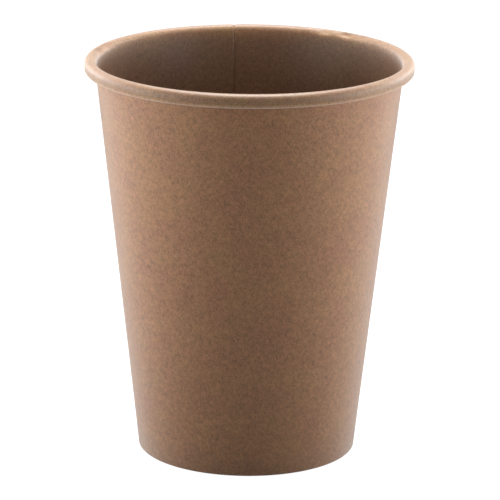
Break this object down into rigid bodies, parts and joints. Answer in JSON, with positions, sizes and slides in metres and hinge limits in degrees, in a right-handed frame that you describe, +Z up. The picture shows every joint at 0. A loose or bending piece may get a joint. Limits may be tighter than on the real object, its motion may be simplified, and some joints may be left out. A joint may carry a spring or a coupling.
{
  "type": "paper coffee cup",
  "caption": "Tapered single-wall paper cup for hot drinks, with a rolled rim, a lapped side seam, a folded hem and a recessed bottom disc.",
  "frame": {"origin": "on the cup's axis, in the plane that the foot stands on", "axes": "+Z up along the cup's axis, +Y through the middle of the lapped side seam at the back"},
  "size_m": [0.09, 0.09, 0.11],
  "materials": {
    "wall_board": "uncoated brown kraft board with fine fibres and specks, thin clear lining inside",
    "bottom_board": "uncoated brown kraft board with fine fibres and specks, thin clear lining on top"
  },
  "bodies": {
    "root": {"side_wall": "wall_board", "bottom_disc": "bottom_board"}
  },
  "joints": []
}
